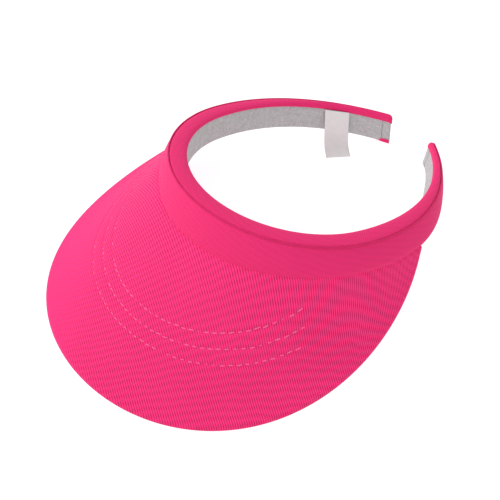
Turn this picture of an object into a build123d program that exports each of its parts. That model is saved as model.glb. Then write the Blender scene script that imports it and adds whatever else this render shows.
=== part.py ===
from build123d import *
from math import atan2, copysign, cos, pi, radians, sin, sqrt
import os

# Open-back clip-on sun visor, resting on a table: forehead toward -Y, wearer's left toward +X, +Z up.
# The band is drawn in its own level frame, with z = 0 at its inner top edge, and then set down on the
# table by REST_POSE. A run is a length along the inner top edge from the forehead centre, positive on
# the wearer's left. Across the band, u points outward from the inner top edge and z points up.

os.makedirs("parts", exist_ok=True)

# Band outline, mm and degrees
FRONT_RADIUS = 71.5
FRONT_ANGLE = 79.4
SIDE_RADIUS = 133.5
SIDE_ANGLE = 63.3
BAND_FRONT_Y = -98.0
HINGE_RUN = 160.0
HINGE_GAP = 0.4
TIP_LENGTH = 6.0
ARM_SLANT = 0.27
LEFT_LEAN = 0.22
LEAN_START_RUN = 200.0

# Band cross-section, mm
BAND_THICKNESS = 11.4
ARM_THINNING = 7.6
THINNING_START_RUN = 93.0
BAND_HEIGHT = 19.3
ARM_DEEPENING = 1.5
DEEPENING_START_RUN = 120.0
LIP_FRONT = 0.9
LIP_TIP = 3.8
FRONT_BULGE = 4.2
SIDE_BULGE = 4.1
ARM_FLATTENING = 3.2
FLATTENING_START_RUN = 144.0
FLATTENING_END_RUN = 196.0
CREASE_FRONT = 22.6
CREASE_SIDE = 11.1
HEM_FRONT = 27.4
FABRIC = 0.8
TERRY = 1.5
LAYER_GAP = 0.1
CORE = 1.0
PIPING_RADIUS = 0.7

# Brim, mm
BRIM_RADIUS = 119.6
BRIM_CENTRE_Y = -73.7
BRIM_DROP = 86.0
BRIM_ARCH = 0.00186
BRIM_SAG = 8.4
BRIM_END_RUN = 139.0
BOARD_END_RUN = 128.0
BRIM_FABRIC = 0.7
BOARD = 1.4
RIM_WIDTH = 0.9

# Stitch rows on the brim, mm and degrees
ROW_CENTRE_Y = -63.7
ROW_RADII = {"inner": 85.0, "middle": 91.4, "outer": 97.8}
ROW_ANGLE = 80.0
STITCH_PITCH = 4.6
STITCH_LENGTH = 3.2
STITCH_WIDTH = 0.5
STITCH_HEIGHT = 0.35

# Care label, mm
LABEL_RUN = -202.3
LABEL_WIDTH = 20.0
LABEL_THICKNESS = 0.4
LABEL_START = 1.6
LABEL_TOP = 2.8
LABEL_LEAN = 0.25
LABEL_FOOT = 15.5
LABEL_BEND = 4.0
LABEL_REST_HEIGHT = 0.6

# Resting place on the table
REST_TILT = 14.89
SET_BACK = 57.6
LIFT = 46.91
REST_POSE = Location((0, SET_BACK, LIFT), (-REST_TILT, 0, 0))

FRONT_LENGTH = FRONT_RADIUS * radians(FRONT_ANGLE)
HALF_RUN = FRONT_LENGTH + SIDE_RADIUS * radians(SIDE_ANGLE)
FRONT_CENTRE_Y = BAND_FRONT_Y + FRONT_RADIUS


def heading(run):
    """Turn of the outward direction away from the forehead, in radians and always positive."""
    length = abs(run)
    if length <= FRONT_LENGTH:
        return length / FRONT_RADIUS
    return radians(FRONT_ANGLE) + (length - FRONT_LENGTH) / SIDE_RADIUS


def band_place(run):
    """Plan point on the inner top edge, and the outward direction there."""
    turn = heading(run)
    radius = FRONT_RADIUS
    centre_x = 0.0
    centre_y = FRONT_CENTRE_Y
    if abs(run) > FRONT_LENGTH:
        radius = SIDE_RADIUS
        centre_x = (FRONT_RADIUS - SIDE_RADIUS) * sin(radians(FRONT_ANGLE))
        centre_y = FRONT_CENTRE_Y - (FRONT_RADIUS - SIDE_RADIUS) * cos(radians(FRONT_ANGLE))
    side = copysign(1, run)
    x = side * (centre_x + radius * sin(turn))
    y = centre_y - radius * cos(turn)
    return x, y, side * sin(turn), -cos(turn)


def ramp(value, start, end):
    """Smooth rise from 0 at start to 1 at end."""
    share = min(max((value - start) / (end - start), 0), 1)
    return share * share * (3 - 2 * share)


def slant(run):
    """Lean of the cross-section: an arm's lower edge reaches further along the run than its top."""
    return copysign(ARM_SLANT * ramp(abs(run), HINGE_RUN, HALF_RUN), run)


def lean(run):
    """Outward lean of the left arm's lower edge near its tip."""
    return LEFT_LEAN * ramp(run, LEAN_START_RUN, HALF_RUN)


def section(run):
    """Plane across the band: its x is u, and its y is up, leaning with the arm's slanted end."""
    x, y, out_x, out_y = band_place(run)
    return Plane(origin=(x, y, 0), x_dir=(out_x, out_y, 0), z_dir=(out_y, -out_x, -slant(run)))


def drawn(run, points):
    """Cross-section points (u, z) as drawn on section(run), leaning out but with true heights."""
    stretch = sqrt(1 + slant(run) ** 2)
    return [(u - z * lean(run), z * stretch) for u, z in points]


def sideness(run):
    """0 at the forehead centre, 1 at the temples and beyond."""
    return sin(min(heading(run), pi / 2)) ** 2


def armness(run):
    """0 over the front, 1 at the arms' ends."""
    return ramp(abs(run), DEEPENING_START_RUN, HALF_RUN)


def thickness(run):
    """Width of the band's top, from the inner to the outer edge."""
    return BAND_THICKNESS - ARM_THINNING * ramp(abs(run), THINNING_START_RUN, HALF_RUN)


def height(run):
    """Height of the band's inner face."""
    return BAND_HEIGHT + ARM_DEEPENING * armness(run)


def lip(run):
    """How far the top binding comes down over the terry inside the band."""
    return LIP_FRONT + (LIP_TIP - LIP_FRONT) * armness(run)


def crease(run):
    """Outermost point of the band's outer face, where the brim is sewn on."""
    bulge = FRONT_BULGE + SIDE_BULGE * sideness(run)
    bulge -= ARM_FLATTENING * ramp(abs(run), FLATTENING_START_RUN, FLATTENING_END_RUN)
    drop = CREASE_FRONT + (CREASE_SIDE - CREASE_FRONT) * sideness(run)
    return thickness(run) + bulge, -drop


def hem(run):
    """Lower outer corner of the band."""
    drop = HEM_FRONT + (height(run) + FABRIC - HEM_FRONT) * sideness(run)
    return crease(run)[0] - 0.5 - 1.2 * sideness(run), -drop


def runs(start, end, count):
    return [start + (end - start) * step / (count - 1) for step in range(count)]


FRONT_RUNS = runs(-HINGE_RUN, HINGE_RUN, 21)
ARM_RUNS = runs(HINGE_RUN + HINGE_GAP, HALF_RUN - TIP_LENGTH, 7)
ARM_SIDES = {"left": 1, "right": -1}


def finish(piece, label):
    """Set one piece down on the table and write it."""
    save(REST_POSE * piece, label)


def save(piece, label):
    piece.label = label
    export_step(piece, "parts/" + label + ".step")


def band_layer(profile, stations):
    """One layer of the band: a closed profile carried along the stations."""
    with BuildPart() as layer:
        for run in stations:
            with BuildSketch(section(run)):
                with BuildLine():
                    Polyline(*drawn(run, profile(run)), close=True)
                make_face()
        loft()
    return layer.part


def sweatband_profile(run):
    top = -lip(run) - LAYER_GAP
    return [(0, top), (TERRY, top), (TERRY, -height(run)), (0, -height(run))]


def core_profile(run):
    near = TERRY + LAYER_GAP
    far = near + CORE
    return [(near, -3), (far, -3), (far, 2 - height(run)), (near, 2 - height(run))]


def foam_profile(run):
    near = TERRY + CORE + 2 * LAYER_GAP
    skin = FABRIC + LAYER_GAP
    crease_u, crease_z = crease(run)
    hem_u, hem_z = hem(run)
    return [
        (near, -0.6 - skin),
        (thickness(run) - skin, 0.3 - skin),
        (crease_u - skin, crease_z),
        (hem_u - skin, hem_z + skin),
        (near, -height(run) + LAYER_GAP),
    ]


def cover_profile(run):
    crease_u, crease_z = crease(run)
    hem_u, hem_z = hem(run)
    under = -height(run) - LAYER_GAP
    top_u = thickness(run)
    return [
        (top_u, -0.2),
        (crease_u, crease_z),
        (hem_u, hem_z),
        (0.2, under - FABRIC),
        (0.2, under),
        (TERRY + 0.3, under),
        (hem_u - FABRIC, hem_z + FABRIC),
        (crease_u - FABRIC, crease_z),
        (top_u - FABRIC, -0.2),
    ]


def binding_profile(run):
    """Strip over the top of the band, from a short lip inside to the piping outside."""
    outer = thickness(run) - PIPING_RADIUS
    bottom = -lip(run)
    fold = 0.4 * bottom
    return [
        (-0.3, bottom),
        (-0.3, fold),
        (0.8, 0.3),
        (outer / 2, 1.1),
        (outer, 1.0),
        (outer, 0.0),
        (outer / 2, 0.1),
        (1.2, -0.5),
        (0.7, fold - 0.3),
        (0.7, bottom),
    ]


def piping(stations):
    """Thin raised seam cord between the top binding and the outer cover."""
    with BuildPart() as cord:
        for run in stations:
            with BuildSketch(section(run)):
                with Locations(*drawn(run, [(thickness(run) + 0.05, 0.6)])):
                    RegularPolygon(PIPING_RADIUS, 8)
        loft()
    return cord.part


def tip_profile(run, inset):
    """Outline of a whole arm across its end, drawn in by the inset."""
    crease_u, crease_z = crease(run)
    hem_u, hem_z = hem(run)
    inner = inset - 0.3
    top = 1.1 - inset
    return [
        (inner, top),
        (thickness(run) + 0.5 - inset, top),
        (crease_u + 0.3 - inset, crease_z),
        (hem_u - inset, hem_z + 0.6 * inset),
        (inner, -height(run) - FABRIC + inset),
    ]


def tip_wrap(side):
    """Terry folded around the end of an arm, rounded off toward the tip."""
    start = HALF_RUN - TIP_LENGTH + LAYER_GAP
    insets = {start: 0.0, start + 3.0: 0.3, start + 5.0: 0.9, start + 5.8: 1.7}
    with BuildPart() as wrap:
        for run, inset in insets.items():
            with BuildSketch(section(side * run)):
                with BuildLine():
                    Polyline(*drawn(side * run, tip_profile(run, inset)), close=True)
                make_face()
        loft()
    return wrap.part


BAND_LAYERS = {
    "sweatband": sweatband_profile,
    "spring_core": core_profile,
    "foam_pad": foam_profile,
    "outer_cover": cover_profile,
    "top_binding": binding_profile,
}

for name, profile in BAND_LAYERS.items():
    finish(band_layer(profile, FRONT_RUNS), "front_" + name)
finish(piping(FRONT_RUNS), "front_seam_piping")

for arm, side in ARM_SIDES.items():
    stations = [side * run for run in ARM_RUNS]
    for name, profile in BAND_LAYERS.items():
        finish(band_layer(profile, stations), arm + "_arm_" + name)
    finish(piping(stations), arm + "_arm_seam_piping")
    finish(tip_wrap(side), arm + "_arm_tip_wrap")


def brim_reach(run):
    """Distance outward from the inner top edge to the brim's rim, in plan."""
    x, y, out_x, out_y = band_place(run)
    from_centre_y = y - BRIM_CENTRE_Y
    along = x * out_x + from_centre_y * out_y
    return sqrt(along ** 2 + BRIM_RADIUS ** 2 - x ** 2 - from_centre_y ** 2) - along


def rim_height(run):
    y, out_y = band_place(run)[1::2]
    rim_y = y + brim_reach(run) * out_y
    return BRIM_ARCH * (rim_y - BRIM_CENTRE_Y + BRIM_RADIUS) ** 2 - BRIM_DROP


def brim_top(run, share):
    """Point (u, z) of the brim's top face: share 0 at the crease, 1 at the rim."""
    root_u, root_z = crease(run)
    root_u += LAYER_GAP
    reach = brim_reach(run)
    width = reach - root_u
    sag = BRIM_SAG * ramp(width, 0, 60)
    z = root_z + share * (rim_height(run) - root_z) - 4 * sag * share * (1 - share)
    return root_u + share * width, z


def brim_point(run, share, depth, inset=0.0):
    """Point below the top face by depth, where share 1 is the inset short of the rim."""
    root_u, root_z = brim_top(run, 0)
    rim_u, rim_z = brim_top(run, 1)
    width = rim_u - root_u
    slope = (root_z - rim_z) / width
    u, z = brim_top(run, share * (1 - inset / width))
    return u, z - depth * sqrt(1 + slope ** 2)


SHARES = [0, 0.25, 0.5, 0.75, 1]


def brim_layer(top, bottom, inset, end_run, rim_bottom=None):
    """One sheet of the brim between two depths; rim_bottom turns its edge down to that depth."""
    with BuildPart() as layer:
        for run in runs(-end_run, end_run, 21):
            upper = [brim_point(run, share, top, inset) for share in SHARES]
            lower = [brim_point(run, share, bottom, inset) for share in SHARES]
            turn = []
            if rim_bottom:
                lower = [brim_point(run, share, bottom, RIM_WIDTH) for share in SHARES]
                turn = [brim_point(run, 1, rim_bottom), brim_point(run, 1, rim_bottom, RIM_WIDTH)]
            with BuildSketch(section(run)):
                with BuildLine():
                    Spline(*upper)
                    Polyline(upper[-1], *turn, lower[-1])
                    Spline(*reversed(lower))
                    Line(lower[0], upper[0])
                make_face()
        loft()
    return layer.part


board_top = BRIM_FABRIC + LAYER_GAP
board_bottom = board_top + BOARD
under_top = board_bottom + LAYER_GAP
under_bottom = under_top + BRIM_FABRIC
board_inset = RIM_WIDTH + LAYER_GAP
finish(brim_layer(0, BRIM_FABRIC, 0, BRIM_END_RUN, under_bottom), "brim_top_cover")
finish(brim_layer(board_top, board_bottom, board_inset, BOARD_END_RUN), "brim_board")
finish(brim_layer(under_top, under_bottom, board_inset, BRIM_END_RUN), "brim_under_cover")


def row_point(radius, angle):
    """Point on the brim's top face along a stitch row."""
    x = radius * sin(angle)
    y = ROW_CENTRE_Y - radius * cos(angle)
    run = atan2(x, FRONT_CENTRE_Y - y) * FRONT_RADIUS
    u = sqrt(x ** 2 + (y - FRONT_CENTRE_Y) ** 2) - FRONT_RADIUS
    root_u = brim_top(run, 0)[0]
    share = (u - root_u) / (brim_reach(run) - root_u)
    return Vector(x, y, brim_top(run, share)[1])


def stitch_row(radius):
    """Row of short thread stitches lying on the brim."""
    step = STITCH_PITCH / radius
    count = int(radians(ROW_ANGLE) / step)
    places = []
    for index in range(-count, count + 1):
        angle = index * step
        along = row_point(radius, angle + step / 4) - row_point(radius, angle - step / 4)
        across = row_point(radius + 1, angle) - row_point(radius - 1, angle)
        up = across.cross(along).normalized()
        if up.Z < 0:
            up = -up
        middle = row_point(radius, angle) + up * LAYER_GAP
        places.append(Plane(origin=middle, x_dir=along, z_dir=up).location)
    with BuildPart() as row:
        with Locations(*places):
            Box(STITCH_LENGTH, STITCH_WIDTH, STITCH_HEIGHT, align=(Align.CENTER, Align.CENTER, Align.MIN))
    return row.part


for name, radius in ROW_RADII.items():
    finish(stitch_row(radius), "brim_stitches_" + name)


def at_rest(run, u, z):
    """Where a point of the band's cross-section is once the visor rests on the table."""
    x, y, out_x, out_y = band_place(run)
    return (REST_POSE * Location((x + u * out_x, y + u * out_y, z))).position


def care_label():
    """Satin tag that hangs from the band's inner top edge and lies bent on the table."""
    out_x, out_y = band_place(LABEL_RUN)[2:]
    top = at_rest(LABEL_RUN, -LABEL_START, -LABEL_TOP)
    across = Plane(origin=(top.X, top.Y, 0), x_dir=(-out_x, -out_y, 0), z_dir=(-out_y, out_x, 0))
    fall = top.Z - LABEL_REST_HEIGHT
    above = LABEL_WIDTH / 4
    with BuildPart() as label:
        with BuildSketch(across):
            with BuildLine():
                FilletPolyline(
                    (-LABEL_LEAN * above, top.Z + above),
                    (LABEL_LEAN * fall, LABEL_REST_HEIGHT),
                    (LABEL_LEAN * fall + LABEL_FOOT, LABEL_REST_HEIGHT),
                    radius=LABEL_BEND,
                )
            trace(line_width=LABEL_THICKNESS)
        extrude(amount=LABEL_WIDTH / 2, both=True)
        band_top = Plane(origin=top, z_dir=(0, sin(radians(REST_TILT)), cos(radians(REST_TILT))))
        split(bisect_by=band_top, keep=Keep.BOTTOM)
    return label.part


save(care_label(), "care_label")
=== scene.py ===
from math import atan2, copysign, cos, hypot, pi, radians, sin, sqrt, tan

import bmesh
import bpy
from mathutils import Matrix, Vector, noise


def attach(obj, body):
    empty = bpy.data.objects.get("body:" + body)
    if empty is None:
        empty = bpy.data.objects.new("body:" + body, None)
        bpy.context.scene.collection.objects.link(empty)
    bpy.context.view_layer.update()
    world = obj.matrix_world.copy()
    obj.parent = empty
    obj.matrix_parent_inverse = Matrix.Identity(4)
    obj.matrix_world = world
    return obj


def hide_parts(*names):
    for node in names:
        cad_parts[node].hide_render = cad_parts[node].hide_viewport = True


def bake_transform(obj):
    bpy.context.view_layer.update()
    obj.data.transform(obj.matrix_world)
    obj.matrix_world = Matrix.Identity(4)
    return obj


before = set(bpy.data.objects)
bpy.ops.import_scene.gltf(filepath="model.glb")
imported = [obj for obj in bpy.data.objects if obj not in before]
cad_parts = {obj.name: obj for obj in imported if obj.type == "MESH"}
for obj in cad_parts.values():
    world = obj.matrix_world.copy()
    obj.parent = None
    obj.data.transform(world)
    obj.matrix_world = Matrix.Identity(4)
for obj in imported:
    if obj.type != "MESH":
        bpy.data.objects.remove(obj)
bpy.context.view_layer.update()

# Clip-on sun visor in pink twill: padded band with terry lining, stitched brim, satin care label.
# The shape functions follow those of the CAD model, with a few sizes a little different, and work in
# millimetres: a run is a length along the band's inner top edge from the forehead centre, u is outward
# across the band and z is up. place() turns them into points of the shared CAD frame, in metres.
MM = 0.001

# Band outline
FRONT_RADIUS = 71.5
FRONT_ANGLE = 79.4
SIDE_RADIUS = 133.5
SIDE_ANGLE = 63.3
BAND_FRONT_Y = -98.0
ARM_SLANT = 0.27
SLANT_START_RUN = 160.0
LEFT_LEAN = 0.22
LEAN_START_RUN = 200.0
REST_TILT = 14.89
SET_BACK = 57.6
LIFT = 46.91

# Band cross-section
BAND_THICKNESS = 11.4
ARM_THINNING = 8.0
THINNING_START_RUN = 93.0
BAND_HEIGHT = 19.3
ARM_DEEPENING = 1.5
DEEPENING_START_RUN = 120.0
LIP_FRONT = 0.9
LIP_TIP = 3.8
FRONT_BULGE = 4.2
SIDE_BULGE = 4.1
ARM_FLATTENING = 3.2
FLATTENING_START_RUN = 144.0
FLATTENING_END_RUN = 196.0
CREASE_FRONT = 22.6
CREASE_SIDE = 11.1
HEM_FRONT = 27.4
FABRIC = 0.8
TERRY = 1.5
PIPING_RADIUS = 0.55
BAND_MIDDLE = (6, -9)

# Where the cloth pieces are cut, the runs of a bend that the pieces don't make, and how the arms' ends are
# folded
ARM_SEAM_RUN = 135.0
BEND_START_RUN = 146.0
BEND_END_RUN = 180.0
TIP_FOLD = 6.3
TIP_ROUNDING = 1.6
TIP_ROLL = 3.5
TIP_ROLL_DROP = 2.8
TIP_GAP = 0.3
TIP_CLEARANCE = 0.02
STRIP_OVERHANG = 1.2
FLAP_START = 15.0
FLAP_END = 4.0

# Spacing of the sections along the run
RUN_STEP = 2.0
ROLL_STEP = 0.4
STRIP_TIP_STEP = 0.2
TIP_STEP = 0.16
FOLD_STEP = 1.0
BRIM_TOP_STEP = 0.9
BRIM_UNDER_STEP = 2.4

# Brim
BRIM_RADIUS = 119.6
BRIM_CENTRE_Y = -73.7
BRIM_DROP = 86.0
BRIM_ARCH = 0.00186
BRIM_SAG = 8.4
BRIM_END_RUN = 140.5
BRIM_THICKNESS = 3.0
BRIM_FABRIC = 0.7
BRIM_TUCK = 1.2
BRIM_TOP_COLUMNS = 120
BRIM_UNDER_COLUMNS = 24
RIM_SEAM = 115.0
SEAM_DEPTH = 0.5

# Stitch rows
ROW_CENTRE_Y = -63.7
ROW_RADII = {"inner": 85.0, "middle": 91.4, "outer": 97.8}
ROW_ANGLE = 80.0
STITCH_PITCH = 4.6
STITCH_LENGTH = 3.8
STITCH_WIDTH = 0.45
STITCH_WANDER = 0.35
STITCH_SINK = 0.28
STITCH_SEED = 7
STITCH_RINGS = 6
STITCH_SIDES = 6
GROOVE_DEPTH = 0.5
GROOVE_WIDTH = 1.3
PUCKER_REACH = 6.0
PUCKER_SIZE = 5.0
PUCKER_HEIGHT = 0.3

# Care label
LABEL_RUN = -202.3
LABEL_WIDTH = 20.0
LABEL_THICKNESS = 0.3
LABEL_START = 1.6
LABEL_TOP = 2.8
LABEL_LEAN = 0.25
LABEL_FOOT = 15.5
LABEL_REST_HEIGHT = 0.6
LABEL_COLUMNS = 16

# Table and camera
TABLE_REACH = 3.0
CAMERA_PLACE = (0.1834, -0.1148, 0.2600)
CAMERA_TURN = (38.10, 3.84, 55.32)
CAMERA_LENS = 33.38

FRONT_LENGTH = FRONT_RADIUS * radians(FRONT_ANGLE)
HALF_RUN = FRONT_LENGTH + SIDE_RADIUS * radians(SIDE_ANGLE)
STRIP_END = HALF_RUN + STRIP_OVERHANG
FRONT_CENTRE_Y = BAND_FRONT_Y + FRONT_RADIUS
REST_POSE = Matrix.Translation((0, SET_BACK, LIFT)) @ Matrix.Rotation(-radians(REST_TILT), 4, "X")


# ---------------------------------------------------------------- shape functions

def heading(run):
    """Turn of the outward direction away from the forehead, in radians."""
    length = abs(run)
    if length <= FRONT_LENGTH:
        return length / FRONT_RADIUS
    return radians(FRONT_ANGLE) + (length - FRONT_LENGTH) / SIDE_RADIUS


def band_place(run):
    """Plan point on the inner top edge, and the outward direction there."""
    turn = heading(run)
    radius = FRONT_RADIUS
    centre_x = 0.0
    centre_y = FRONT_CENTRE_Y
    if abs(run) > FRONT_LENGTH:
        radius = SIDE_RADIUS
        centre_x = (FRONT_RADIUS - SIDE_RADIUS) * sin(radians(FRONT_ANGLE))
        centre_y = FRONT_CENTRE_Y - (FRONT_RADIUS - SIDE_RADIUS) * cos(radians(FRONT_ANGLE))
    side = copysign(1, run)
    x = side * (centre_x + radius * sin(turn))
    y = centre_y - radius * cos(turn)
    return x, y, side * sin(turn), -cos(turn)


def place(run, u, z):
    """Point of the shared CAD frame, in metres, for a point of the band's cross-section.

    An arm's lower edge reaches further along the run than its top, and the left arm leans out.
    """
    u -= z * LEFT_LEAN * ramp(run, LEAN_START_RUN, HALF_RUN)
    slant = copysign(ARM_SLANT * ramp(abs(run), SLANT_START_RUN, HALF_RUN), run)
    x, y, out_x, out_y = band_place(run - z * slant)
    return REST_POSE @ Vector((x + u * out_x, y + u * out_y, z)) * MM


def ramp(value, start, end):
    """Smooth rise from 0 at start to 1 at end."""
    share = min(max((value - start) / (end - start), 0), 1)
    return share * share * (3 - 2 * share)


def sideness(run):
    """0 at the forehead centre, 1 at the temples and beyond."""
    return sin(min(heading(run), pi / 2)) ** 2


def armness(run):
    """0 over the front, 1 at the arms' ends."""
    return ramp(abs(run), DEEPENING_START_RUN, HALF_RUN)


def thickness(run):
    """Width of the band's top, from the inner to the outer edge."""
    return BAND_THICKNESS - ARM_THINNING * ramp(abs(run), THINNING_START_RUN, HALF_RUN)


def height(run):
    """Height of the band's inner face."""
    return BAND_HEIGHT + ARM_DEEPENING * armness(run)


def lip(run):
    """How far the top binding comes down over the terry inside the band."""
    return LIP_FRONT + (LIP_TIP - LIP_FRONT) * armness(run)


def crease(run):
    """Outermost point of the band's outer face, where the brim is sewn on."""
    bulge = FRONT_BULGE + SIDE_BULGE * sideness(run)
    bulge -= ARM_FLATTENING * ramp(abs(run), FLATTENING_START_RUN, FLATTENING_END_RUN)
    drop = CREASE_FRONT + (CREASE_SIDE - CREASE_FRONT) * sideness(run)
    return thickness(run) + bulge, -drop


def hem(run):
    """Lower outer corner of the band."""
    drop = HEM_FRONT + (height(run) + FABRIC - HEM_FRONT) * sideness(run)
    return crease(run)[0] - 0.5 - 1.2 * sideness(run), -drop


def brim_reach(run):
    """Distance outward from the inner top edge to the brim's rim, in plan."""
    x, y, out_x, out_y = band_place(run)
    from_centre_y = y - BRIM_CENTRE_Y
    along = x * out_x + from_centre_y * out_y
    return sqrt(along ** 2 + BRIM_RADIUS ** 2 - x ** 2 - from_centre_y ** 2) - along


def rim_height(run):
    """Height of the brim's rim."""
    y, out_y = band_place(run)[1::2]
    rim_y = y + brim_reach(run) * out_y
    return BRIM_ARCH * (rim_y - BRIM_CENTRE_Y + BRIM_RADIUS) ** 2 - BRIM_DROP


def brim_top(run, share):
    """Point (u, z) of the brim's top face: share 0 at the crease, 1 at the rim."""
    root_u, root_z = crease(run)
    width = brim_reach(run) - root_u
    sag = BRIM_SAG * ramp(width, 0, 60)
    z = root_z + share * (rim_height(run) - root_z) - 4 * sag * share * (1 - share)
    return root_u + share * width, z


def tip_inset(run, end=HALF_RUN):
    """How far an arm's rounded end draws the cloth in."""
    left = min(max(end - abs(run), 0), TIP_ROUNDING)
    return TIP_ROUNDING - sqrt(TIP_ROUNDING ** 2 - (TIP_ROUNDING - left) ** 2)


def tip_drop(run):
    """How far the strip over the top rolls down at an arm's end."""
    share = min(max(1 - (STRIP_END - abs(run)) / TIP_ROLL, 0), 1)
    return TIP_ROLL_DROP * (1 - sqrt(1 - share ** 2))


# ---------------------------------------------------------------- mesh helpers

SHARP_ANGLE = 50


def steps(start, end, spacing):
    """Evenly spaced values from start to end, both included."""
    count = max(1, round(abs(end - start) / spacing))
    return [start + (end - start) * index / count for index in range(count + 1)]


def soften(path, times=2):
    """Round an open path by cutting its corners; the two ends stay."""
    for _ in range(times):
        cut = [path[0]]
        for (au, az), (bu, bz) in zip(path, path[1:]):
            cut.append((0.75 * au + 0.25 * bu, 0.75 * az + 0.25 * bz))
            cut.append((0.25 * au + 0.75 * bu, 0.25 * az + 0.75 * bz))
        path = cut + [path[-1]]
    return path


def thicken(path, depth):
    """Closed outline of a cloth whose outer face is the path and whose inside is on its right."""
    inner = []
    for index, (u, z) in enumerate(path):
        before = path[max(index - 1, 0)]
        after = path[min(index + 1, len(path) - 1)]
        along = hypot(after[0] - before[0], after[1] - before[1]) or 1.0
        inner.append((u + depth * (after[1] - before[1]) / along, z - depth * (after[0] - before[0]) / along))
    return path + inner[::-1]


def build(name, points, faces, corners, material):
    """Mesh object from points in metres; corners holds one cloth coordinate per face corner."""
    mesh = bpy.data.meshes.new(name)
    mesh.from_pydata(points, [], faces)
    cloth = mesh.uv_layers.new(name="cloth")
    for index, corner in enumerate(corners):
        cloth.data[index].uv = corner
    work = bmesh.new()
    work.from_mesh(mesh)
    bmesh.ops.recalc_face_normals(work, faces=work.faces)
    work.to_mesh(mesh)
    work.free()
    mesh.shade_smooth()
    mesh.set_sharp_from_angle(angle=radians(SHARP_ANGLE))
    mesh.materials.append(material)
    piece = bpy.data.objects.new(name, mesh)
    bpy.context.scene.collection.objects.link(piece)
    return piece


def sweep(name, stations, outline, material):
    """Closed piece: the closed outline(run) of (u, z) points carried along the stations."""
    rings = [outline(run) for run in stations]
    size = len(rings[0])
    points = [place(run, u, z) for run, ring in zip(stations, rings) for u, z in ring]
    faces = []
    corners = []
    lengths = []
    for ring in rings:
        along = [0.0]
        for (au, az), (bu, bz) in zip(ring, ring[1:] + ring[:1]):
            along.append(along[-1] + hypot(bu - au, bz - az) * MM)
        lengths.append(along)
    for row in range(len(stations) - 1):
        near = stations[row] * MM
        far = stations[row + 1] * MM
        for step in range(size):
            other = (step + 1) % size
            faces.append((row * size + step, row * size + other,
                          (row + 1) * size + other, (row + 1) * size + step))
            corners += [(near, lengths[row][step]), (near, lengths[row][step + 1]),
                        (far, lengths[row + 1][step + 1]), (far, lengths[row + 1][step])]
    last = (len(stations) - 1) * size
    for cap in (range(size), range(last, last + size)):
        faces.append(tuple(cap))
        corners += [(points[index].x, points[index].z) for index in cap]
    return build(name, points, faces, corners, material)


# ---------------------------------------------------------------- materials

def shader(name, colour, roughness, **sockets):
    """Principled material; sockets are constants set on the shader itself."""
    material = bpy.data.materials.new(name)
    material.use_nodes = True
    principled = material.node_tree.nodes["Principled BSDF"]
    principled.inputs["Base Color"].default_value = (*colour, 1)
    principled.inputs["Roughness"].default_value = roughness
    for socket, value in sockets.items():
        principled.inputs[socket.replace("_", " ")].default_value = value
    return material, principled


def node(material, kind, **settings):
    """New shader node with those attributes set."""
    made = material.node_tree.nodes.new(kind)
    for name, value in settings.items():
        setattr(made, name, value)
    return made


def link(material, output, socket):
    material.node_tree.links.new(output, socket)


def value(material, operation, first, second=0.0):
    """Math node on sockets or numbers; returns its output."""
    made = node(material, "ShaderNodeMath", operation=operation)
    for socket, source in zip(made.inputs, (first, second)):
        if isinstance(source, (int, float)):
            socket.default_value = source
        else:
            link(material, source, socket)
    return made.outputs[0]


def distance_along(material, coordinate, angle, scale=1.0):
    """Distance across the cloth in the direction of that angle in degrees, times the scale."""
    along = node(material, "ShaderNodeVectorMath", operation="DOT_PRODUCT")
    turn = radians(angle)
    along.inputs[1].default_value = (scale * cos(turn), scale * sin(turn), 0)
    link(material, coordinate, along.inputs[0])
    return along.outputs["Value"]


def threads(material, coordinate, pitch, angle, wander=None):
    """Wave from 0 to 1 across parallel threads of that pitch in metres, at that angle in degrees."""
    phase = distance_along(material, coordinate, angle, 2 * pi / pitch)
    if wander is not None:
        phase = value(material, "ADD", phase, wander)
    wave = value(material, "SINE", phase)
    return value(material, "ADD", value(material, "MULTIPLY", wave, 0.5), 0.5)


def mixture(material, parts, start=0.0):
    """Sum of sockets, each times its weight, added to the start value."""
    total = None
    for source, weight in parts:
        part = value(material, "MULTIPLY", source, weight)
        total = part if total is None else value(material, "ADD", total, part)
    return value(material, "ADD", total, start)


def speckle(material, coordinate, size, detail=2.0):
    """Noise from 0 to 1 with features of about that size in metres."""
    made = node(material, "ShaderNodeTexNoise")
    made.inputs["Scale"].default_value = 1 / size
    made.inputs["Detail"].default_value = detail
    link(material, coordinate, made.inputs["Vector"])
    return made.outputs["Fac"]


def tint(material, principled, share, dark, light):
    """Base colour between dark and light by share."""
    mix = node(material, "ShaderNodeMix", data_type="RGBA")
    link(material, share, mix.inputs["Factor"])
    mix.inputs["A"].default_value = (*dark, 1)
    mix.inputs["B"].default_value = (*light, 1)
    link(material, mix.outputs["Result"], principled.inputs["Base Color"])


def raise_by(material, principled, height, distance, strength=1.0):
    """Bump from a height socket, by that distance in metres."""
    bump = node(material, "ShaderNodeBump")
    bump.inputs["Distance"].default_value = distance
    bump.inputs["Strength"].default_value = strength
    link(material, height, bump.inputs["Height"])
    link(material, bump.outputs["Normal"], principled.inputs["Normal"])


def cloth_coordinate(material):
    """Place on the flat cloth, in metres."""
    return node(material, "ShaderNodeUVMap", uv_map="cloth").outputs["UV"]


def smooth_step(material, source, start, end):
    """Smooth rise of a socket from 0 at start to 1 at end."""
    made = node(material, "ShaderNodeMapRange", interpolation_type="SMOOTHSTEP")
    made.inputs["From Min"].default_value = start
    made.inputs["From Max"].default_value = end
    link(material, source, made.inputs["Value"])
    return made.outputs["Result"]


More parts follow.
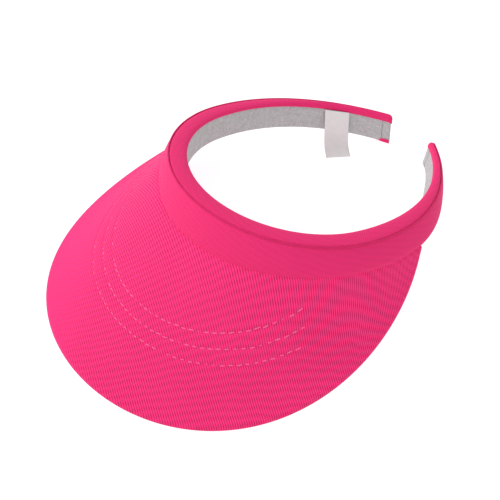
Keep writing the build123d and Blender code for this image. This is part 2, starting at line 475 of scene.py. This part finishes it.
def twill(name, light, dark, rib_angle, rib, contrast, tone, painted_light_falloff=None):
    """Cotton twill: slanted ribs crossed by finer weft, with slubs and fading.

    Contrast sets how far the ribs differ, and tone how light the cloth is. Where the last argument is
    given, as a direction in degrees and two distances along it in metres, it lays painted light on the
    cloth: before the first distance the cloth is paler with fainter ribs, standing for the brighter
    light on that side, and after the second it is darker with full ribs.
    """
    material, principled = shader(
        name, light, 0.85, Sheen_Weight=0.1, Sheen_Roughness=0.5,
        Sheen_Tint=(1.0, 0.5, 0.75, 1), Specular_IOR_Level=0.1)
    cloth = cloth_coordinate(material)
    drift = value(material, "MULTIPLY", speckle(material, cloth, 0.012), 6.0)
    ribs = threads(material, cloth, rib, rib_angle)
    weft = threads(material, cloth, rib * 0.5, rib_angle + 95)
    slubs = threads(material, cloth, 0.0036, rib_angle - 112, drift)
    fuzz = speckle(material, cloth, 0.0011)
    fade = speckle(material, cloth, 0.03)
    strength = contrast
    # Painted light: towards the key lamp's side the ribs fade and the cloth turns paler; away from it the
    # ribs are stronger and the cloth darker.
    if painted_light_falloff is not None:
        direction, lit_until, shaded_from = painted_light_falloff
        across = distance_along(material, cloth, direction)
        painted_shade_share = smooth_step(material, across, lit_until, shaded_from)
        strength = value(material, "MULTIPLY", value(material, "ADD", painted_shade_share, 0.22), contrast)
    height = mixture(material, [(ribs, 0.75), (weft, 0.25)])
    detail = mixture(material, [(height, 1.3), (slubs, 0.25), (fuzz, 0.35), (fade, 0.2)], -1.25)
    share = mixture(material, [(detail, strength)], tone)
    tint(material, principled, share, dark, light)
    raise_by(material, principled, height, 0.00012, 0.6)
    return material


def looped_terry():
    """Terry towelling: raised loops in faint rows."""
    material, principled = shader(
        "terry", (0.4, 0.39, 0.39), 0.95, Sheen_Weight=0.1, Sheen_Roughness=0.5,
        Specular_IOR_Level=0.05)
    cloth = cloth_coordinate(material)
    loops = node(material, "ShaderNodeTexVoronoi", feature="SMOOTH_F1")
    loops.inputs["Scale"].default_value = 800
    link(material, cloth, loops.inputs["Vector"])
    rows = threads(material, cloth, 0.0016, 0)
    mottle = speckle(material, cloth, 0.004)
    share = mixture(material, [(loops.outputs["Distance"], 0.6), (mottle, 0.45), (rows, 0.15)])
    tint(material, principled, share, (0.60, 0.61, 0.61), (0.33, 0.33, 0.34))
    raise_by(material, principled, share, -0.0006, 0.6)
    return material


def satin():
    """Creased satin ribbon with a fine weft."""
    material, principled = shader(
        "label_satin", (0.8, 0.79, 0.79), 0.42, Sheen_Weight=0.2, Specular_IOR_Level=0.45)
    cloth = cloth_coordinate(material)
    weft = threads(material, cloth, 0.0005, 90)
    creases = speckle(material, cloth, 0.006)
    tint(material, principled, creases, (0.68, 0.68, 0.68), (0.77, 0.77, 0.77))
    height = mixture(material, [(weft, 0.2), (creases, 1.0)])
    raise_by(material, principled, height, 0.0003, 0.5)
    return material


def sewing_thread():
    """Twisted sewing thread, a little paler than the cloth."""
    material, principled = shader("stitch_thread", (0.98, 0.15, 0.35), 0.6, Sheen_Weight=0.1)
    cloth = cloth_coordinate(material)
    twist = threads(material, cloth, 0.0006, 40)
    tint(material, principled, twist, (0.85, 0.09, 0.27), (1.0, 0.19, 0.40))
    raise_by(material, principled, twist, 0.0001)
    return material


def hidden_foam():
    """Open-cell foam."""
    material, principled = shader("foam", (0.8, 0.79, 0.74), 0.95)
    place_in_space = node(material, "ShaderNodeTexCoord").outputs["Object"]
    cells = speckle(material, place_in_space, 0.0008, 4)
    tint(material, principled, cells, (0.66, 0.65, 0.6), (0.86, 0.85, 0.81))
    raise_by(material, principled, cells, 0.0004)
    return material


def moulded(name, dark, light):
    """Moulded plastic with a fine grain."""
    material, principled = shader(name, light, 0.45, Specular_IOR_Level=0.5)
    place_in_space = node(material, "ShaderNodeTexCoord").outputs["Object"]
    grain = speckle(material, place_in_space, 0.0015, 3)
    tint(material, principled, grain, dark, light)
    raise_by(material, principled, grain, 0.00005)
    return material


PINK = (1.0, 0.042, 0.215)
DEEP_PINK = (0.48, 0.012, 0.088)
# Painted light on the brim: paler cloth with fainter ribs on the side towards the key lamp, darker and more
# ribbed away from it.
BRIM_PAINTED_LIGHT = (55, -0.14, -0.09)
brim_twill = twill("brim_twill", PINK, DEEP_PINK, 80, 0.0012, 0.95, 0.91, BRIM_PAINTED_LIGHT)
band_twill = twill("band_twill", PINK, DEEP_PINK, 40, 0.001, 0.25, 0.61)
# The piping's twill is darker than the band's: painted shade standing for the shadow line in the seam beside
# it.
painted_shade_seam_twill = twill("painted_shade_seam_twill", PINK, DEEP_PINK, 40, 0.001, 0.25, 0.35)
terry = looped_terry()
label_cloth = satin()
thread = sewing_thread()
foam = hidden_foam()
spring_plastic = moulded("spring_plastic", (0.7, 0.7, 0.7), (0.8, 0.8, 0.8))
board_plastic = moulded("board_plastic", (0.75, 0.75, 0.74), (0.85, 0.85, 0.84))


# ---------------------------------------------------------------- band

def binding_outline(run):
    """Strip over the top of the band, rolled from the terry to the piping and closed over the tip."""
    draw = tip_inset(run, STRIP_END)
    drop = tip_drop(run)
    outer = thickness(run) - 0.9 * draw
    inner = 0.9 * draw
    bottom = -lip(run) - 0.6 * drop
    shoulder = min(1.7, 0.3 * (outer - inner))
    path = [
        (inner - 0.25, bottom),
        (inner - 0.45, 0.45 * bottom - 0.3 * drop),
        (inner - 0.1, 0.35 - drop),
        (inner + shoulder, 1.25 - drop),
        (0.5 * (inner + outer), 1.6 - drop),
        (outer - shoulder, 1.35 - drop),
        (outer - 0.65, 0.7 - drop),
        (outer - 0.35, -0.7 - 0.5 * drop),
    ]
    return thicken(soften(path), 0.8 - 0.45 * draw)


def piping_outline(run):
    """Small round seam cord between the binding and the outer cover."""
    middle_u = thickness(run) - 0.9 * tip_inset(run, STRIP_END) + 0.05
    middle_z = 0.7 - tip_drop(run)
    turns = [2 * pi * index / 10 for index in range(10)]
    return [(middle_u + PIPING_RADIUS * cos(turn), middle_z + PIPING_RADIUS * sin(turn)) for turn in turns]


def cover_outline(run):
    """Outer face of the band, bulging to the crease and turned under the bottom edge.

    At the right arm's end its hem also comes up over the lower corner of the terry.
    """
    draw = tip_inset(run)
    top = thickness(run) - draw
    crease_u, crease_z = crease(run)
    hem_u, hem_z = hem(run)
    crease_u -= draw
    hem_u -= draw
    under = -height(run) - FABRIC - 0.1
    flap = ramp(-run, HALF_RUN - FLAP_START, HALF_RUN - FLAP_END)
    path = [
        (top, 0.35 - tip_drop(run)),
        (top + 0.5, 0.1 - tip_drop(run)),
        (top + 0.45 * (crease_u - top) + 0.55, 0.35 * crease_z),
        (top + 0.85 * (crease_u - top) + 0.5, 0.75 * crease_z),
        (crease_u + 0.6, 0.98 * crease_z),
        (hem_u + 0.1, hem_z + 0.6),
        (hem_u - 1.0, hem_z),
        (0.5 * hem_u, 0.5 * (hem_z + under)),
        (2.4 - 1.2 * flap, under),
        (1.5 - 2.2 * flap, under + 0.1),
        (1.3 - 2.1 * flap, under + 0.4 + 2.8 * flap),
    ]
    return thicken(soften(path), 0.7 * FABRIC)


def terry_outline(run):
    """Terry lining the inside of the band, folded a little under it."""
    bottom = -height(run)
    top = -lip(run)
    path = [
        (1.5, bottom - 0.5),
        (0.5, bottom - 0.5),
        (-0.1, bottom + 0.3),
        (-0.25, bottom + 2),
        (-0.3, bottom / 2),
        (-0.2, top - 1.5),
        (0.3, top + 0.3),
        (1.2, top + 0.9),
    ]
    return thicken(soften(path), TERRY)


def foam_outline(run):
    """Foam between the spring and the cloth."""
    crease_u, crease_z = crease(run)
    hem_u, hem_z = hem(run)
    outer = thickness(run)
    inner = min(2.9, 0.6 * outer)
    bottom = -height(run)
    return [
        (inner, -0.9),
        (0.5 * (inner + outer - 0.9), -0.4),
        (outer - 0.9, -0.9),
        (crease_u - 1.5, crease_z),
        (hem_u - 1.3, hem_z + 1.6),
        (0.5 * hem_u, bottom - 0.2 + 0.3 * (hem_z - bottom)),
        (2.9, bottom + 0.1),
    ]


def tip_outline(run):
    """Terry folded around the end of an arm, inside the pink cover."""
    draw = tip_inset(run)
    crease_u, crease_z = crease(run)
    left = -0.4 + 0.8 * draw
    bottom = -height(run) - 0.5 + 0.5 * draw
    top = -1.2 - 0.5 * draw
    edge = -lip(run)
    return [
        (left, bottom + 1.0),
        (left, edge - 0.3),
        (left + 0.7, edge + 0.3),
        (left + 0.7, top),
        (max(left + 0.9, thickness(run) - 0.9 - draw), top),
        (crease_u - 0.9 - draw, crease_z),
        (hem(run)[0] - 0.9 - draw, bottom + 0.6),
        (left + 1.0, bottom),
    ]


def stretched_cloth(cad_node):
    """Hide the CAD node that a stretched band cloth replaces."""
    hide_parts(cad_node)


def settle(piece, arm, side):
    """Front pieces ride the visor; arm pieces get their placement baked into their points and ride no body.
    """
    if arm == "front":
        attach(piece, "visor")
        return
    start = place(side * BEND_START_RUN, *BAND_MIDDLE)
    end = place(side * BEND_END_RUN, *BAND_MIDDLE)
    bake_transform(piece)


def mirrored(side, values):
    return [side * run for run in values]


def band_stations(arm, side):
    """Runs of the sections of the cover, the strip with its piping, the terry, and the tip terry."""
    if arm == "front":
        across = steps(-ARM_SEAM_RUN, ARM_SEAM_RUN, RUN_STEP)
        return across, across, across, []
    last = HALF_RUN - TIP_ROUNDING
    roll = HALF_RUN - TIP_ROLL
    plain = mirrored(side, steps(ARM_SEAM_RUN, roll, RUN_STEP) + steps(roll, last, ROLL_STEP)[1:])
    tip = mirrored(side, steps(last, HALF_RUN - TIP_CLEARANCE, TIP_STEP)[1:])
    strip_tip = mirrored(side, steps(last, STRIP_END - TIP_CLEARANCE, STRIP_TIP_STEP)[1:])
    terry_end = HALF_RUN - TIP_FOLD - TIP_GAP
    lining = mirrored(side, steps(ARM_SEAM_RUN, terry_end, RUN_STEP))
    folded = mirrored(side, steps(HALF_RUN - TIP_FOLD, last, FOLD_STEP))
    return plain + tip, plain + strip_tip, lining, folded + tip


def band_part(arm, side):
    """All the cloth and foam of the front or of one arm."""
    stations, strip_stations, terry_stations, tip_stations = band_stations(arm, side)
    cloth = sweep(arm + "_outer_cloth", stations, cover_outline, band_twill)
    stretched_cloth(arm + "_outer_cover")
    strip = sweep(arm + "_binding", strip_stations, binding_outline, band_twill)
    stretched_cloth(arm + "_top_binding")
    # The piping wears the darker twill, painted shade for the seam's shadow line.
    cord = sweep(arm + "_piping", strip_stations, piping_outline, painted_shade_seam_twill)
    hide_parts(arm + "_seam_piping")
    lining = sweep(arm + "_terry", terry_stations, terry_outline, terry)
    stretched_cloth(arm + "_sweatband")
    filling = sweep(arm + "_foam", terry_stations, foam_outline, foam)
    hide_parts(arm + "_foam_pad")
    made = [cloth, strip, cord, lining, filling]
    if tip_stations:
        end_cap = sweep(arm + "_tip_terry", tip_stations, tip_outline, terry)
        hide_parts(arm + "_tip_wrap")
        made.append(end_cap)
    for piece in made:
        settle(piece, arm, side)


band_part("front", 1)
band_part("left_arm", 1)
band_part("right_arm", -1)


# ---------------------------------------------------------------- brim

def row_distance(x, y):
    """Distance to the nearest stitch row, length along it, and how far it has faded out at its ends."""
    radius = hypot(x, y - ROW_CENTRE_Y)
    angle = atan2(x, ROW_CENTRE_Y - y)
    nearest = min(ROW_RADII.values(), key=lambda row: abs(row - radius))
    fade = 1 - ramp(abs(angle), radians(ROW_ANGLE - 6), radians(ROW_ANGLE + 2))
    return abs(radius - nearest), angle * nearest, fade


def brim_relief(run, u):
    """Lift of the brim's top face: its seam to the band, the sewn rows, and puckers beside them."""
    x, y, out_x, out_y = band_place(run)
    x += u * out_x
    y += u * out_y
    seam = -SEAM_DEPTH * (1 - ramp(u - crease(run)[0], 0.2, 1.8))
    distance, along, fade = row_distance(x, y)
    if fade <= 0:
        return seam
    groove = (1 - ramp(distance, 0, GROOVE_WIDTH)) * (0.75 + 0.25 * cos(2 * pi * along / STITCH_PITCH))
    pucker = noise.noise((x / PUCKER_SIZE, y / PUCKER_SIZE, 0.0)) * (1 - ramp(distance, 0, PUCKER_REACH))
    return seam + fade * (-GROOVE_DEPTH * groove + PUCKER_HEIGHT * pucker)


def brim_section(run, columns, relief=None):
    """Top path of the brim's cross-section, from under the band to where the rim's arc starts.

    Returns its points as (u, z, slope angle), and the radius of the arc.
    """
    width = brim_reach(run) - crease(run)[0]
    radius = min(BRIM_THICKNESS / 2, 0.45 * width)
    first = -BRIM_TUCK / width
    last = 1 - radius / width
    found = []
    for index in range(columns + 1):
        share = first + (last - first) * index / columns
        u, z = brim_top(run, share)
        ahead_u, ahead_z = brim_top(run, share + 0.001)
        angle = atan2(z - ahead_z, ahead_u - u)
        lift = relief(run, u) if relief else 0.0
        found.append((u + lift * sin(angle), z + lift * cos(angle), angle))
    return found, radius


def offset(points, depth):
    """The points moved square to the brim, down by the depth."""
    return [(u - depth * sin(angle), z - depth * cos(angle)) for u, z, angle in points]


def rim_arc(end, radius, inset, start, stop, count):
    """Arc around the rim, from the brim's top (0 degrees) to its underside (180).

    The rim is cut plumb like the board inside it, or square to the brim where that is very steep.
    """
    u, z, angle = end
    lean = angle * (1 - ramp(cos(angle), 0.15, 0.4))
    stretch = 1 / cos(angle - lean)
    reach = radius - inset
    arc = []
    for index in range(count + 1):
        turn = radians(start + (stop - start) * index / count)
        down = (radius - reach * cos(turn)) * stretch
        out = reach * sin(turn) * stretch
        arc.append((u + out * cos(angle) - down * sin(lean), z - out * sin(angle) - down * cos(lean)))
    return arc


def top_cloth_outline(run):
    """Cloth over the brim's top, turned down around the rim."""
    outer, radius = brim_section(run, BRIM_TOP_COLUMNS, brim_relief)
    lining, radius = brim_section(run, BRIM_UNDER_COLUMNS)
    around = rim_arc(lining[-1], radius, 0, 8, RIM_SEAM, 10)
    inside = rim_arc(lining[-1], radius, min(BRIM_FABRIC, 0.5 * radius), RIM_SEAM, 8, 6)
    return [(u, z) for u, z, angle in outer] + around + inside + offset(lining, BRIM_FABRIC + 0.4)[::-1]


def under_cloth_outline(run):
    """Cloth on the brim's underside, meeting the top cloth on the rim."""
    lining, radius = brim_section(run, BRIM_UNDER_COLUMNS)
    depth = min(BRIM_THICKNESS, 2 * radius)
    around = rim_arc(lining[-1], radius, 0.05, 172, RIM_SEAM + 3, 5)
    inside = rim_arc(lining[-1], radius, min(BRIM_FABRIC, 0.5 * radius), RIM_SEAM + 3, 172, 4)
    return offset(lining, depth) + around + inside + offset(lining, depth - min(BRIM_FABRIC, radius))[::-1]


def plan_coordinates(piece):
    """Lay the weave flat over the brim, straight across the cloth."""
    cloth = piece.data.uv_layers["cloth"]
    unturn = REST_POSE.to_3x3().inverted()
    for corner in piece.data.loops:
        flat = unturn @ piece.data.vertices[corner.vertex_index].co
        cloth.data[corner.index].uv = (flat.x, flat.y)


def brim_cloth(name, cad_node, spacing, outline):
    """One of the two cloths of the brim, with the CAD node that it replaces."""
    piece = sweep(name, steps(-BRIM_END_RUN, BRIM_END_RUN, spacing), outline, brim_twill)
    plan_coordinates(piece)
    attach(piece, "visor")
    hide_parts(cad_node)


brim_cloth("brim_top_cloth", "brim_top_cover", BRIM_TOP_STEP, top_cloth_outline)
brim_cloth("brim_under_cloth", "brim_under_cover", BRIM_UNDER_STEP, under_cloth_outline)


def row_point(radius, angle, depth):
    """Point in metres on a stitch row, at that depth below the brim's top face."""
    x = radius * sin(angle)
    y = ROW_CENTRE_Y - radius * cos(angle)
    run = atan2(x, FRONT_CENTRE_Y - y) * FRONT_RADIUS
    u = hypot(x, y - FRONT_CENTRE_Y) - FRONT_RADIUS
    root_u = crease(run)[0]
    share = (u - root_u) / (brim_reach(run) - root_u)
    surface_u, z = brim_top(run, share)
    ahead_u, ahead_z = brim_top(run, share + 0.001)
    slope = atan2(z - ahead_z, ahead_u - surface_u)
    return place(run, surface_u - depth * sin(slope), z - depth * cos(slope))


def stitch_points(index, radius, face_depth, facing):
    """Rings of points around one stitch, and its length; both ends sink into the cloth.

    Facing is 1 on the top face and -1 on the underside.
    """
    pitch_angle = STITCH_PITCH / radius
    sunk = STITCH_SINK * (1 - ramp(index * pitch_angle, radians(-45), radians(5)))
    wander = noise.noise_vector((index * 0.7, radius, facing)) * STITCH_WANDER
    length = STITCH_LENGTH * (1 + wander.z)
    points = []
    for ring in range(STITCH_RINGS + 1):
        share = 2 * ring / STITCH_RINGS - 1
        angle = (index + 0.5 * share * length / STITCH_PITCH) * pitch_angle
        girth = STITCH_WIDTH / 2 * sqrt(max(1 - share ** 4, 0.04))
        depth = face_depth + facing * (sunk + 0.4 * share ** 4 + 0.9 * wander.y)
        middle = radius + wander.x + share * wander.y
        for side in range(STITCH_SIDES):
            turn = 2 * pi * side / STITCH_SIDES
            points.append(row_point(
                middle + girth * cos(turn), angle, depth - 0.8 * facing * girth * sin(turn)))
    return points, length


def stitch_faces(base, length):
    """Faces of one closed stitch whose points start at base, and their cloth coordinates."""
    faces = []
    corners = []
    around = 0.0003
    for ring in range(STITCH_RINGS):
        near = ring / STITCH_RINGS * length * MM
        far = (ring + 1) / STITCH_RINGS * length * MM
        first = base + ring * STITCH_SIDES
        for side in range(STITCH_SIDES):
            other = (side + 1) % STITCH_SIDES
            faces.append((first + side, first + other,
                          first + STITCH_SIDES + other, first + STITCH_SIDES + side))
            low = side * around
            corners += [(near, low), (near, low + around), (far, low + around), (far, low)]
    for cap in (base, base + STITCH_RINGS * STITCH_SIDES):
        faces.append(tuple(range(cap, cap + STITCH_SIDES)))
        corners += [(0, 0)] * STITCH_SIDES
    return faces, corners


def stitch_row(name, radius):
    """Row of thread stitches on the top face, and again on the underside."""
    count = int(radians(ROW_ANGLE) / (STITCH_PITCH / radius))
    points = []
    faces = []
    corners = []
    for face_depth, facing in ((GROOVE_DEPTH - 0.15, 1), (BRIM_THICKNESS + 0.1, -1)):
        for index in range(-count, count + 1):
            stitch, length = stitch_points(index, radius, face_depth, facing)
            stitch_face, stitch_corner = stitch_faces(len(points), length)
            points += stitch
            faces += stitch_face
            corners += stitch_corner
    return build(name, points, faces, corners, thread)


# Without a seed the noise starts from the clock, and the stitches would differ from run to run.
noise.seed_set(STITCH_SEED)
for row, radius in ROW_RADII.items():
    stitches = stitch_row("brim_thread_" + row, radius)
    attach(stitches, "visor")
    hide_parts("brim_stitches_" + row)


# ---------------------------------------------------------------- care label

def label_path(top_height):
    """Side view of the label as (forward, height), and the length along it to each point."""
    fall = top_height - LABEL_REST_HEIGHT
    path = soften([
        (0.0, top_height),
        (LABEL_LEAN * fall * 0.5, LABEL_REST_HEIGHT + 0.5 * fall),
        (LABEL_LEAN * fall, LABEL_REST_HEIGHT),
        (LABEL_LEAN * fall + LABEL_FOOT, LABEL_REST_HEIGHT),
    ], 3)
    lengths = [0.0]
    for (au, az), (bu, bz) in zip(path, path[1:]):
        lengths.append(lengths[-1] + hypot(bu - au, bz - az))
    return path, lengths


def label_points(path, lengths):
    """Points of the label, hanging along the band's tilted edge and lying level at its foot."""
    out_x, out_y = band_place(LABEL_RUN)[2:]
    top = place(LABEL_RUN, -LABEL_START, -LABEL_TOP)
    inward = Vector((-out_x, -out_y, 0)) * MM
    across = Vector((-out_y, out_x, 0)) * MM
    slope = -tan(radians(REST_TILT))
    points = []
    for (forward, up), length in zip(path, lengths):
        share = length / lengths[-1]
        for column in range(LABEL_COLUMNS + 1):
            side = (column / LABEL_COLUMNS - 0.5) * LABEL_WIDTH
            rise = slope * side * across.y / MM * (1 - share)
            curl = 0.35 * (side / 10) ** 2 * share
            wave = 0.25 * sin(side * 0.35 + length * 0.2) * share
            points.append(Vector((top.x, top.y, 0)) + inward * (forward + curl + wave * 0.6)
                          + across * side + Vector((0, 0, (up + rise + 0.3 * curl) * MM)))
    return points


def care_label():
    """Satin tag hanging from the band's inner top edge, with its lower end lying on the table."""
    path, lengths = label_path(place(LABEL_RUN, -LABEL_START, -LABEL_TOP).z / MM)
    corners = []
    faces = []
    for row in range(len(path) - 1):
        for column in range(LABEL_COLUMNS):
            first = row * (LABEL_COLUMNS + 1) + column
            second = first + LABEL_COLUMNS + 1
            faces.append((first, first + 1, second + 1, second))
            near = lengths[row] * MM
            far = lengths[row + 1] * MM
            left = column / LABEL_COLUMNS * LABEL_WIDTH * MM
            right = (column + 1) / LABEL_COLUMNS * LABEL_WIDTH * MM
            corners += [(left, near), (right, near), (right, far), (left, far)]
    piece = build("care_label_satin", label_points(path, lengths), faces, corners, label_cloth)
    solid = piece.modifiers.new("thickness", "SOLIDIFY")
    solid.thickness = LABEL_THICKNESS * MM
    solid.offset = 0
    return piece, lengths[-1]


label, label_length = care_label()
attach(label, "care_label")
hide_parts("care_label")


# ---------------------------------------------------------------- stiff parts inside, from the CAD

for name, material in (("front_spring_core", spring_plastic), ("left_arm_spring_core", spring_plastic),
                       ("right_arm_spring_core", spring_plastic), ("brim_board", board_plastic)):
    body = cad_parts[name]
    body.data.materials.clear()
    body.data.materials.append(material)


# ---------------------------------------------------------------- table, light and camera

def table():
    """White table top."""
    mesh = bpy.data.meshes.new("table")
    corners = [(TABLE_REACH * x, TABLE_REACH * y, 0) for x, y in ((-1, -1), (1, -1), (1, 1), (-1, 1))]
    mesh.from_pydata(corners, [], [(0, 1, 2, 3)])
    material, principled = shader("table_white", (0.3, 0.3, 0.3), 0.9, Specular_IOR_Level=0.0)
    principled.inputs["Emission Color"].default_value = (1, 1, 1, 1)
    principled.inputs["Emission Strength"].default_value = 0.9
    mesh.materials.append(material)
    floor = bpy.data.objects.new("table", mesh)
    bpy.context.scene.collection.objects.link(floor)


def area_light(name, place_at, size, power):
    """Square lamp aimed at the origin; place and size in metres, power in watts."""
    lamp = bpy.data.lights.new(name, "AREA")
    lamp.size = size
    lamp.energy = power
    holder = bpy.data.objects.new(name, lamp)
    holder.location = place_at
    holder.rotation_euler = (-Vector(place_at)).to_track_quat("-Z", "Y").to_euler()
    bpy.context.scene.collection.objects.link(holder)


table()
area_light("key", (-0.9, -0.6, 0.8), 1.0, 11)
area_light("fill", (0.9, -0.9, 1.0), 1.6, 3.5)
world = bpy.data.worlds.new("studio")
world.use_nodes = True
world.node_tree.nodes["Background"].inputs["Color"].default_value = (1, 1, 1, 1)
world.node_tree.nodes["Background"].inputs["Strength"].default_value = 0.75
bpy.context.scene.world = world

camera = bpy.data.objects.new("camera", bpy.data.cameras.new("camera"))
camera.data.lens = CAMERA_LENS
camera.data.clip_start = 0.01
camera.location = CAMERA_PLACE
camera.rotation_euler = [radians(angle) for angle in CAMERA_TURN]
bpy.context.scene.collection.objects.link(camera)
bpy.context.scene.camera = camera
bpy.context.scene.view_settings.view_transform = "Standard"
